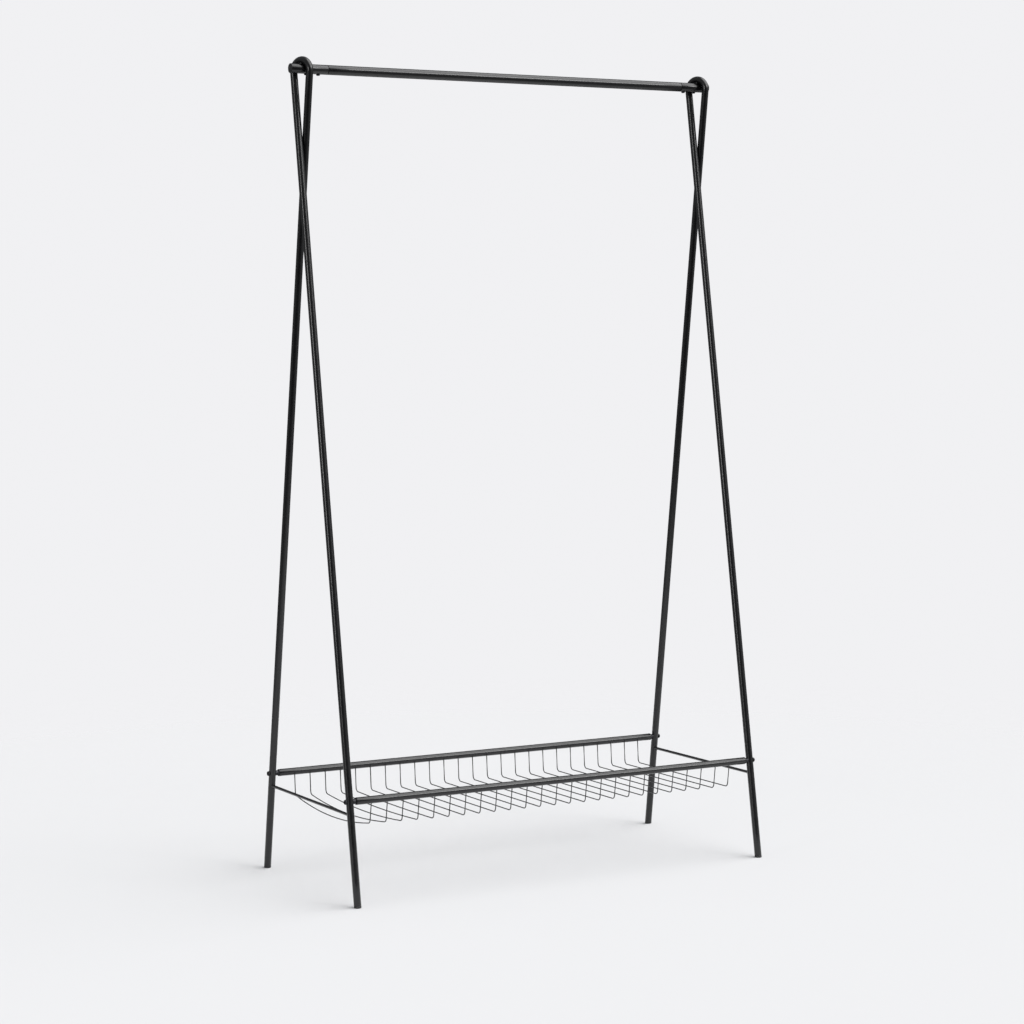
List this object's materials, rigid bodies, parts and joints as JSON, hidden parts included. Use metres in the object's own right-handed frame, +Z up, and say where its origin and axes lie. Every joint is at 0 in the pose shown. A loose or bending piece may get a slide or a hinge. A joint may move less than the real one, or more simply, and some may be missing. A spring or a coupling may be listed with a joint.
{
  "type": "clothes rack",
  "caption": "Free-standing clothes rack: crossed tube end frames, a hanging rail under their loops, and a low shoe shelf of bent wires.",
  "frame": {"origin": "on the floor, midway between the four feet", "axes": "+Z up, +X along the hanging rail to the right end frame, +Y to the back of the rack"},
  "size_m": [1.009, 0.4652, 1.6999],
  "materials": {
    "coat": "satin black powder coat",
    "plastic": "matt black moulded polyethylene",
    "steel": "black zinc-plated steel, dull"
  },
  "bodies": {
    "root": {"left_end_frame": "coat", "right_end_frame": "coat", "left_cross_rod": "coat", "right_cross_rod": "coat", "hanging_rail": "coat", "left_rail_stub": "coat", "right_rail_stub": "coat", "left_rail_joiner": "steel", "right_rail_joiner": "steel", "left_rail_cap": "plastic", "right_rail_cap": "plastic", "left_arch_weld": "coat", "right_arch_weld": "coat", "rail_screws": "steel", "front_shelf_rail": "coat", "back_shelf_rail": "coat", "front_left_rail_plug": "steel", "back_left_rail_plug": "steel", "front_right_rail_plug": "steel", "back_right_rail_plug": "steel", "shelf_bolts": "steel", "front_left_foot_plug": "plastic", "back_left_foot_plug": "plastic", "front_right_foot_plug": "plastic", "back_right_foot_plug": "plastic", "shelf_wire_01": "coat", "shelf_wire_02": "coat", "shelf_wire_03": "coat", "shelf_wire_04": "coat", "shelf_wire_05": "coat", "shelf_wire_06": "coat", "shelf_wire_07": "coat", "shelf_wire_08": "coat", "shelf_wire_09": "coat", "shelf_wire_10": "coat", "shelf_wire_11": "coat", "shelf_wire_12": "coat", "shelf_wire_13": "coat", "shelf_wire_14": "coat", "shelf_wire_15": "coat", "shelf_wire_16": "coat", "shelf_wire_17": "coat", "shelf_wire_18": "coat", "shelf_wire_19": "coat", "shelf_wire_20": "coat", "shelf_wire_21": "coat", "shelf_wire_22": "coat", "shelf_wire_23": "coat", "shelf_wire_24": "coat", "shelf_wire_25": "coat"}
  },
  "joints": []
}
